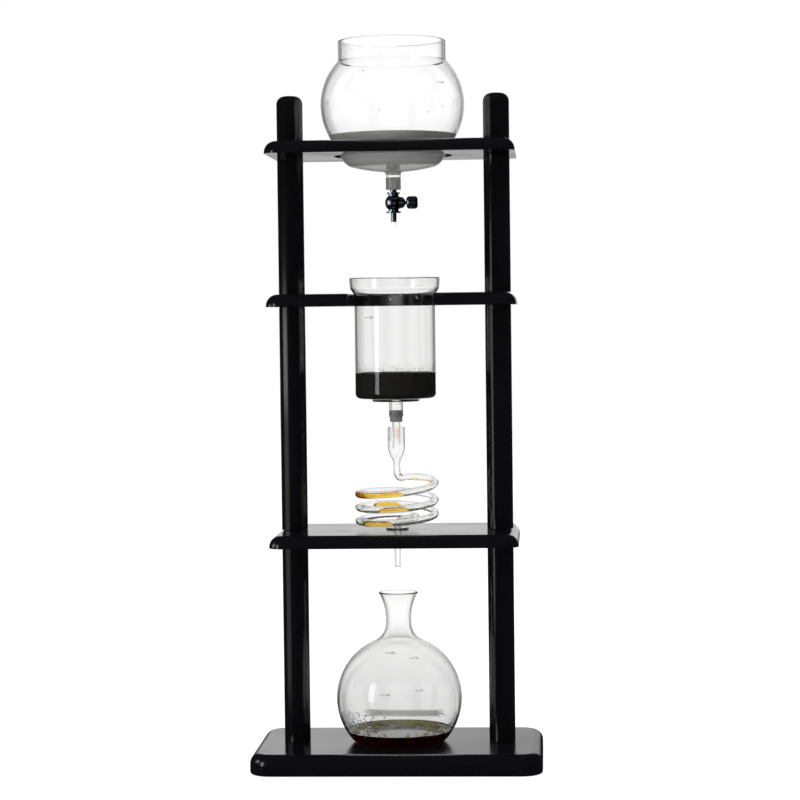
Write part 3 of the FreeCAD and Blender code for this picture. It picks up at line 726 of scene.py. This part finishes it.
# ---------------------------------------------------------------- measuring marks
def mark(name, node, body, heading, height, numerals, material):
    """A line with plain numerals after it, printed on the outside of a glass piece."""
    tree = surface_of(node)
    text = bpy.data.curves.new(name, "FONT")
    text.body = numerals
    text.size = numeral_height / capital_share
    text.extrude = print_thickness / 2
    text.align_y = "CENTER"
    lettering = bpy.data.objects.new(name, text)
    flat = bpy.data.meshes.new_from_object(lettering)
    points = [v.co + Vector((mark_line + mark_gap, 0, 0)) for v in flat.vertices]
    faces = [tuple(p.vertices) for p in flat.polygons]
    half, thick, start = mark_stroke / 2, print_thickness / 2, len(points)
    corners = ((-half, -thick), (half, -thick), (half, thick), (-half, thick))
    columns = 9
    for step in range(columns):
        points += [Vector((mark_line * step / (columns - 1), y, z)) for y, z in corners]
    rings = [list(range(start + 4 * step, start + 4 * step + 4)) for step in range(columns)]
    faces += skin(rings) + [tuple(rings[0]), tuple(rings[-1])]
    centre = outside(tree, heading, height)
    radius = math.hypot(centre.x, centre.y)
    wrapped = []
    for x, y, z in points:
        turned = heading + math.degrees((x - mark_line) / radius)
        spot = outside(tree, turned, height + y)
        out = Vector((spot.x, spot.y, 0)).normalized()
        wrapped.append(spot + out * (print_thickness + z))
    bpy.data.objects.remove(lettering)
    bpy.data.curves.remove(text)
    bpy.data.meshes.remove(flat)
    return new_piece(name, wrapped, faces, material, body)


# ---------------------------------------------------------------- cooling coil
def coil_heights():
    """Heights of the inlet arm's and the outlet arm's axes."""
    low = top_of("coil_shelf") + elbow_height
    falling = loop_pitch * (loop_sweep - level_sweep) / 360
    return low + falling + first_drop + arm_fall, low


def loop_fall(degrees):
    """How far the loops have fallen after an angle round them, before the lean."""
    falling = min(degrees, loop_sweep - level_sweep)
    return loop_pitch * falling / 360 + first_drop * min(1.0, degrees / 180)


def arm_arc():
    """Radius of the arc that leads an arm into the loops, its sweep, and its centre's angle off the arm."""
    radius = (loop_radius**2 - arm_length**2) / (2 * loop_radius)
    off_arm = math.degrees(math.atan2(radius, arm_length))
    return radius, 90 + off_arm, off_arm


def around(centre, radius, degrees, height):
    angle = math.radians(degrees)
    return Vector((centre.x + radius * math.cos(angle), centre.y + radius * math.sin(angle), height))


def leaned(point):
    return Vector((point.x, point.y, point.z + point.y * math.tan(math.radians(loop_lean))))


def loop_point(degrees):
    """Point of the loops' axis after an angle round them."""
    start = arm_heading - arm_arc()[2]
    height = coil_heights()[0] - arm_fall - loop_fall(degrees)
    return leaned(around(Vector(), loop_radius, start - degrees, height))


def arm_points(at_end):
    """Axis of one arm and its lead-in arc, from where the arc leaves the arm to the loops or back."""
    top, low = coil_heights()
    radius, sweep, off_arm = arm_arc()
    centre_angle = arm_heading - off_arm - (loop_sweep if at_end else 0)
    centre = around(Vector(), loop_radius - radius, centre_angle, 0)
    steps = 40
    points = []
    for step in range(steps + 1):
        turn = sweep * (step / steps if at_end else step / steps - 1)
        height = low if at_end else top - arm_fall * step / steps
        points.append(leaned(around(centre, radius, centre_angle - turn, height)))
    return points


def rounded(before, corner, after, radius):
    """Points of the arc that rounds a corner."""
    back = (before - corner).normalized()
    on = (after - corner).normalized()
    half = (math.pi - back.angle(on)) / 2
    length = radius * math.tan(half)
    centre = corner + (back + on).normalized() * (radius / math.cos(half))
    start = corner + back * length - centre
    end = corner + on * length - centre
    steps = 14
    ways = [start.slerp(end, step / steps).normalized() for step in range(steps + 1)]
    return [centre + way * radius for way in ways]


def coil_axis():
    """Axis of the whole coil from the receiver's mouth to the outlet's tip, in even steps."""
    top, low = coil_heights()
    inlet, outlet = arm_points(False), arm_points(True)
    mouth = Vector((0, 0, top_of("coil")))
    tip = Vector((0, 0, bottom_of("coil")))
    line = [mouth]
    line += rounded(mouth, Vector((0, 0, top)), inlet[0], inlet_bend)
    line += inlet
    line += [loop_point(degrees) for degrees in range(loop_step, int(loop_sweep), loop_step)]
    line += outlet
    line += rounded(outlet[-1], Vector((0, 0, low)), tip, outlet_bend)
    line.append(tip)
    line = evened(line, axis_spacing)
    for _ in range(axis_smoothings):
        middle = [(a + b * 2 + c) / 4 for a, b, c in zip(line, line[1:], line[2:])]
        line = line[:1] + middle + line[-1:]
    return line


def evened(points, spacing):
    """The same line with points at an even spacing."""
    lengths = [0.0]
    for a, b in zip(points, points[1:]):
        lengths.append(lengths[-1] + (b - a).length)
    count = round(lengths[-1] / spacing)
    found = []
    index = 0
    for step in range(count + 1):
        target = lengths[-1] * step / count
        while index < len(points) - 2 and lengths[index + 1] < target:
            index += 1
        share = (target - lengths[index]) / max(lengths[index + 1] - lengths[index], TINY)
        found.append(points[index].lerp(points[index + 1], min(share, 1.0)))
    return found


def outer_radius(point, turned_down):
    """The coil's outer radius at a point of its axis: receiver, tube or outlet."""
    neck = coil_heights()[0] + neck_height
    shelf_bottom = bottom_of("coil_shelf")
    if turned_down and point.z < shelf_bottom:
        share = (shelf_bottom - point.z) / (shelf_bottom - bottom_of("coil"))
        return tube_radius + (outlet_tip_radius - tube_radius) * share
    if turned_down or point.z < neck:
        return tube_radius
    if point.z < neck + neck_length:
        share = (point.z - neck) / neck_length
        return tube_radius + (neck_radius - tube_radius) * share**2
    belly = neck + neck_length + receiver_taper
    if point.z < belly:
        taper = belly_radius - neck_radius
        ogive = (taper**2 + receiver_taper**2) / (2 * taper)
        return belly_radius - ogive + math.sqrt(ogive**2 - (belly - point.z) ** 2)
    return belly_radius + (mouth_radius - belly_radius) * (point.z - belly) / (top_of("coil") - belly)


def rings_along(axis, outline_at):
    """Points and rings of an outline carried along an axis without twisting."""
    points, rings = [], []
    way = (axis[1] - axis[0]).normalized()
    side = way.orthogonal().normalized()
    for index, centre in enumerate(axis):
        way = (axis[min(index + 1, len(axis) - 1)] - axis[max(index - 1, 0)]).normalized()
        side = (side - way * side.dot(way)).normalized()
        outline = outline_at(index, way, side)
        rings.append(list(range(len(points), len(points) + len(outline))))
        points += [centre + offset for offset in outline]
    return points, rings


def circle_of(radius, way, side, count=32):
    across = way.cross(side)
    steps = [2 * math.pi * step / count for step in range(count)]
    return [side * (radius * math.cos(a)) + across * (radius * math.sin(a)) for a in steps]


def glass_coil(material):
    """The coil as one smooth tube with a bore, its two open rims fire-polished."""
    axis = coil_axis()
    half = len(axis) // 2
    radii = [outer_radius(point, index > half) for index, point in enumerate(axis)]
    outer = rings_along(axis, lambda i, way, side: circle_of(radii[i], way, side))
    inner = rings_along(axis, lambda i, way, side: circle_of(radii[i] - tube_wall, way, side))
    points = outer[0] + inner[0]
    shift = len(outer[0])
    rings = outer[1] + [[number + shift for number in ring] for ring in reversed(inner[1])]
    made = new_piece("glass_coil", points, skin(rings, closed=True), material, "coil", sharp=60)
    rims = made.modifiers.new("rims", "BEVEL")
    rims.width = rim_round * MM
    rims.segments = 3
    rims.limit_method = "ANGLE"
    rims.angle_limit = math.radians(60)
    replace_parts(made, "coil")


def slug(name, axis, fill, material):
    """Coffee lying in the lower part of the bore along an axis, up to a share of its height."""
    bore = tube_radius - tube_wall + bite / 2
    last = len(axis) - 1
    level = -1 + 2 * fill
    arc_steps, top_steps = 20, 8

    def section(index, way, _):
        up = (Vector((0, 0, 1)) - way * way.z).normalized()
        flat = way.cross(up)
        share = min(1.0, min(index, last - index) / slug_taper)
        tip = 1.0 if share > 0 else slug_tip
        top = slug_floor + (level - slug_floor) * (slug_slant + (1 - slug_slant) * share) * tip
        half = math.acos(-top)
        arc = [-half + 2 * half * step / arc_steps for step in range(arc_steps + 1)]
        edge = [flat * (bore * math.sin(a)) - up * (bore * math.cos(a)) for a in arc]
        return edge + [edge[-1].lerp(edge[0], step / top_steps) for step in range(1, top_steps)]

    points, rings = rings_along(axis, section)
    faces = skin(rings) + [tuple(rings[0]), tuple(rings[-1])]
    return new_piece(name, points, faces, material, "coil", sharp=50)


def loop_run(start, end):
    """Axis of the loops between two angles round them."""
    count = max(10, round((end - start) / 2))
    return [loop_point(start + (end - start) * step / count) for step in range(count + 1)]


# ---------------------------------------------------------------- studio
def floor_white():
    """Pale floor that keeps its shadows.

    It is white to the eye, and in gloss bright behind the tower and dim before it. Through glass it is bright
    ahead and behind, and dark in a wedge to either side.
    """
    material, tree, shader = new_material("floor_white", Roughness=0.9)
    shader.inputs["Base Color"].default_value = (0.8, 0.8, 0.8, 1)
    shader.inputs["Specular IOR Level"].default_value = 0.0
    path = add_node(tree, "ShaderNodeLightPath").outputs
    parts = parts_of(tree, add_node(tree, "ShaderNodeNewGeometry").outputs["Position"])
    off_side = calculated(tree, "ABSOLUTE", parts["X"])
    off_front = calculated(tree, "ABSOLUTE", parts["Y"])
    far = remapped(tree, off_front, *glass_glow, *glass_glow_fade)
    for_glass = product(tree, path["Is Transmission Ray"], far)
    for_eye = product(tree, path["Is Camera Ray"], floor_glow)
    glow = add_node(tree, "ShaderNodeEmission", Strength=calculated(tree, "ADD", for_eye, for_glass))
    lit = add_node(tree, "ShaderNodeAddShader")
    feed(tree, lit.inputs[0], shader.outputs["BSDF"])
    feed(tree, lit.inputs[1], glow.outputs["Emission"])
    sideways = calculated(tree, "DIVIDE", off_side, calculated(tree, "MAXIMUM", parts["Y"], least_depth))
    behind = product(
        tree,
        remapped(tree, parts["Y"], 0.0, sheen, *sheen_rise),
        remapped(tree, sideways, 1.0, 0.0, *sheen_width),
        remapped(tree, parts["Y"], 1.0, far_sheen, *sheen_fall),
    )
    in_gloss = add_node(tree, "ShaderNodeEmission", Strength=calculated(tree, "ADD", behind, front_gloss))
    askew = calculated(tree, "DIVIDE", off_side, calculated(tree, "MAXIMUM", off_front, least_depth))
    wedge = remapped(tree, askew, 0.0, 1.0, *wedge_start)
    wedge = product(tree, wedge, remapped(tree, askew, 1.0, 0.0, *wedge_end))
    dimmed = between(tree, path["Is Transmission Ray"], path["Is Glossy Ray"], wedge)
    mix_surface(tree, dimmed, lit.outputs["Shader"], in_gloss.outputs["Emission"])
    return material


def floor():
    mesh = bpy.data.meshes.new("floor")
    corners = [(x * floor_half, y * floor_half, 0) for x, y in ((-1, -1), (1, -1), (1, 1), (-1, 1))]
    mesh.from_pydata(corners, [], [(0, 1, 2, 3)])
    in_scene("floor", mesh, floor_white())


def studio_world():
    """Surroundings, white to the eye.

    In gloss they are bright behind the tower and dim elsewhere. Through glass they are bright ahead,
    behind and far to the sides, and dim between.
    """
    world = bpy.data.worlds.new("studio")
    bpy.context.scene.world = world
    world.use_nodes = True
    tree = world.node_tree
    background = next(n for n in tree.nodes if n.type == "BACKGROUND")
    parts = parts_of(tree, add_node(tree, "ShaderNodeTexCoord").outputs["Generated"])
    off_side = calculated(tree, "ABSOLUTE", parts["X"])
    off_front = calculated(tree, "ABSOLUTE", parts["Y"])
    corner = calculated(tree, "MULTIPLY_ADD", parts["Z"], gloss_slope, parts["X"])
    in_gloss = product(
        tree,
        remapped(tree, parts["Z"], 1.0, 0.0, *gloss_top),
        remapped(tree, parts["Y"], 0.0, 1.0, *gloss_depth),
        remapped(tree, off_side, 1.0, 0.0, *gloss_width),
        remapped(tree, corner, 1.0, corner_share, *gloss_corner),
        remapped(tree, parts["Z"], below_share, 1.0, *horizon),
    )
    in_gloss = calculated(tree, "ADD", in_gloss, front_gloss)
    in_glass = remapped(tree, off_front, side_view, 1.0, *view_ahead)
    in_glass = calculated(tree, "MINIMUM", in_glass, remapped(tree, off_side, 1.0, side_view, *view_width))
    wide = remapped(tree, off_side, side_view, wide_view, *wide_start)
    in_glass = calculated(tree, "MAXIMUM", in_glass, wide)
    in_glass = calculated(tree, "ADD", in_glass, remapped(tree, parts["Z"], 0.0, upper_view, *view_rise))
    path = add_node(tree, "ShaderNodeLightPath").outputs
    strength = between(tree, path["Is Glossy Ray"], plain_light, in_gloss)
    strength = between(tree, path["Is Transmission Ray"], strength, in_glass)
    strength = between(tree, path["Is Camera Ray"], strength, 1.0)
    feed(tree, background.inputs["Strength"], strength)
    background.inputs["Color"].default_value = (1, 1, 1, 1)


def lamp(name, place, target, width, height, radiance, in_gloss=True, only=(), never=()):
    """Soft box of a radiance, which may be left out of gloss, light some nodes only or leave some out."""
    data = bpy.data.lights.new(name, "AREA")
    data.shape = "RECTANGLE"
    data.size = width
    data.size_y = height
    data.energy = radiance * math.pi * width * height
    made = bpy.data.objects.new(name, data)
    made.location = place
    made.rotation_euler = (Vector(target) - Vector(place)).to_track_quat("-Z", "Y").to_euler()
    made.visible_camera = False
    made.visible_transmission = False
    made.visible_glossy = in_gloss
    bpy.context.scene.collection.objects.link(made)
    if only or never:
        lit = bpy.data.collections.new(name + "_lights")
        for node in only or never:
            lit.objects.link(frame["nodes"][node])
        for row in lit.collection_objects:
            row.light_linking.link_state = "INCLUDE" if only else "EXCLUDE"
        made.light_linking.receiver_collection = lit


def camera():
    """Long lens a little to the right of straight on and just above the middle, rolled by a hair."""
    place, aim = Vector(camera_place), Vector(camera_aim)
    data = bpy.data.cameras.new("camera")
    data.sensor_width = 36.0
    data.lens = camera_lens
    made = bpy.data.objects.new("camera", data)
    made.location = place
    facing = (aim - place).to_track_quat("-Z", "Y").to_matrix()
    made.rotation_euler = (facing @ Matrix.Rotation(math.radians(camera_roll), 3, "Z")).to_euler()
    bpy.context.scene.collection.objects.link(made)
    bpy.context.scene.camera = made


def nodes_of(slot):
    return [row["node"] for row in frame["record"]["subparts"] if row["material_slot"] == slot]


# ---------------------------------------------------------------- assembly
finishes = {
    "dark_silicone": silicone("dark_silicone", (0.26, 0.245, 0.235, 1), (0.34, 0.325, 0.31, 1), 0.42),
    "clear_silicone": liquid(
        "clear_silicone", 1.41, (0.86, 0.86, 0.85, 1), density=60.0, shade=(0.8, 0.8, 0.79, 1), roughness=0.2
    ),
    "grey_silicone": silicone("grey_silicone", (0.34, 0.34, 0.33, 1), (0.42, 0.42, 0.41, 1), 0.38),
    "black_chrome": black_chrome(),
    "clear_glass": glass("clear_glass", density=70.0, wobble=0.05),
    "filter_ceramic": stained_ceramic(),
    "insert_brass": metal("insert_brass", (0.72, 0.52, 0.22, 1), (0.5, 0.34, 0.14, 1), 0.24),
    "plated_steel": metal("plated_steel", (0.6, 0.6, 0.62, 1), (0.42, 0.42, 0.42, 1), 0.22),
}
bowl_glass = glass("bowl_glass", density=20.0, wobble=0.04)
tube_glass = glass("tube_glass", density=60.0)
board_lacquer = lacquer("board_lacquer", along=0)
post_lacquer = lacquer("post_lacquer", along=2)

for sub_part in frame["record"]["subparts"]:
    node, finish = sub_part["node"], sub_part["material_slot"]
    upright = "post" in node or "finial" in node
    material = finishes.get(finish) or (post_lacquer if upright else board_lacquer)
    material = {"water_bowl": bowl_glass, "drip_tube": tube_glass}.get(node, material)
    for slot in frame["nodes"][node].material_slots:
        slot.material = material

water = water_painted_grey()
clear_water = liquid("clear_water", 1.333, (0.9, 0.95, 0.95, 1), density=2.0, shade=(0.95, 0.97, 0.97, 1))
coffee = liquid("coffee", 1.34, (0.945, 0.76, 0.14, 1), density=1030.0, shade=(0.75, 0.5, 0.2, 1))
thin_coffee = liquid("thin_coffee", 1.34, (0.965, 0.83, 0.27, 1), density=680.0, shade=(0.9, 0.7, 0.3, 1))
drip_film = liquid("drip_film", 1.34, (0.9, 0.72, 0.45, 1), density=3000.0, shade=(0.8, 0.6, 0.4, 1))
mist = liquid("mist", 1.1, (0.8, 0.8, 0.79, 1), density=12000.0, shade=(0.8, 0.8, 0.8, 1))
seed = metal("glass_seed", (0.25, 0.25, 0.25, 1), (0.15, 0.15, 0.15, 1), roughness=0.3)
grounds = wet_grounds("wet_grounds", (0.0022, 0.0017, 0.0015, 1), (0.007, 0.0045, 0.0032, 1), depth=0.25)
crumbs = wet_grounds("crumbs", (0.11, 0.08, 0.055, 1), (0.26, 0.21, 0.15, 1), depth=0.1)
enamel = grey_enamel()

bowl_bung(finishes["grey_silicone"])
stem_bung(finishes["dark_silicone"])
water_in_bowl(water)
coffee_bed(grounds)
residue(crumbs)
brew_in_flask(coffee)
froth(bubble_skin())
droplets("flask_droplets", "flask", "flask", 90, -52, 14, (41, 55), (0.4, 1.2), clear_water)
droplets("chamber_droplets", "coffee_chamber", "chamber", 9, 12, 14, (452, 458), (0.3, 0.7), clear_water)
hanging_drop("nozzle_drop", (1.6, -1.0, bottom_of("valve_nozzle") + 0.6), 1.5, 3.4, clear_water, "bowl")
glass_coil(tube_glass)
slug("slug_first", loop_run(91, 199), fill_share, thin_coffee)
slug("slug_second", loop_run(444, 487), fill_share, thin_coffee)
slug("slug_back", loop_run(603, 647), fill_share, thin_coffee)
slug("slug_third", loop_run(827, 877), fill_share, thin_coffee)
slug("slug_left", loop_run(540, 566), 0.16, thin_coffee)
slug("slug_inlet", arm_points(False)[6:38], 0.14, thin_coffee)
film("drip_film_top", "drip_tube", "chamber", 30, 42, (318.0, 328.0), 0.16, drip_film)
film("drip_film_low", "drip_tube", "chamber", 36, 18, (315.5, 319.5), 0.3, coffee)
film("mist_band", "flask", "flask", 177, 46, (34.5, 41.5), 0.3, mist, end_rise=2.9)
seeds = [(-22.6, 669.0, 0.6), (-61.5, 641.0, 0.68), (-7.0, 631.2, 0.5)]  # heading, height and radius
seeds += [(47.6, 635.0, 0.62), (33.4, 629.3, 0.6)]
beads("glass_seeds", [seed_place(*place) for place in seeds], seed, "bowl", squash=0.5, detail=2)
hanging_drop("stem_drop", (3.9, -1.9, 352.0), 0.9, 2.6, thin_coffee, "chamber")

mark("mark_bowl", "water_bowl", "bowl", 45.9, 657.9, "900", enamel)
mark("mark_chamber", "coffee_chamber", "chamber", -37.3, 434.8, "300", enamel)
mark("mark_flask_a", "flask", "flask", -10.4, 111.3, "800", enamel)
mark("mark_flask_b", "flask", "flask", -10.4, 73.9, "500", enamel)
mark("mark_flask_c", "flask", "flask", 24.0, 106.7, "26", enamel)
mark("mark_flask_d", "flask", "flask", 22.0, 77.5, "18", enamel)

floor()
studio_world()
lacquered = nodes_of("black_lacquer")
boards = [node for node in lacquered if "post" not in node and "finial" not in node]
left = [node for node in lacquered if "left" in node]
right = [node for node in lacquered if "right" in node]
valve = nodes_of("black_chrome")
lamp("side_box", (-0.89, -0.13, 0.40), (0, 0, 0.40), width=0.3, height=0.34, radiance=3.2, only=boards)
lamp("left_box", (-0.82, -0.35, 0.385), (-0.1, 0, 0.385), width=0.6, height=0.14, radiance=3.0, only=left)
lamp("left_fill", (-0.5, -0.2, 0.15), (-0.1, 0, 0.15), width=0.34, height=0.3, radiance=0.65, only=left)
lamp("right_box", (-0.94, -0.6, 0.25), (0.1, 0, 0.3), width=0.3, height=0.62, radiance=1.9, only=right)
lamp("window", (-1.53, -1.29, 0.44), (0, 0, 0.25), width=0.42, height=1.3, radiance=5.0, never=left + right)
lamp("top_box", (0.3, -0.2, 2.2), (0, 0, 0.3), width=1.2, height=1.2, radiance=3.0, in_gloss=False)
lamp("valve_box", (-1.2, -0.45, 0.62), (0, 0, 0.546), width=1.0, height=1.0, radiance=9.0, only=valve)
lamp("valve_card", (0.3, -1.5, 0.36), (0, 0, 0.546), width=0.5, height=0.4, radiance=2.2, only=valve)
camera()
bpy.context.scene.view_settings.view_transform = "Standard"
bpy.context.scene.cycles.max_bounces = most_bounces
bpy.context.scene.cycles.transmission_bounces = most_bounces
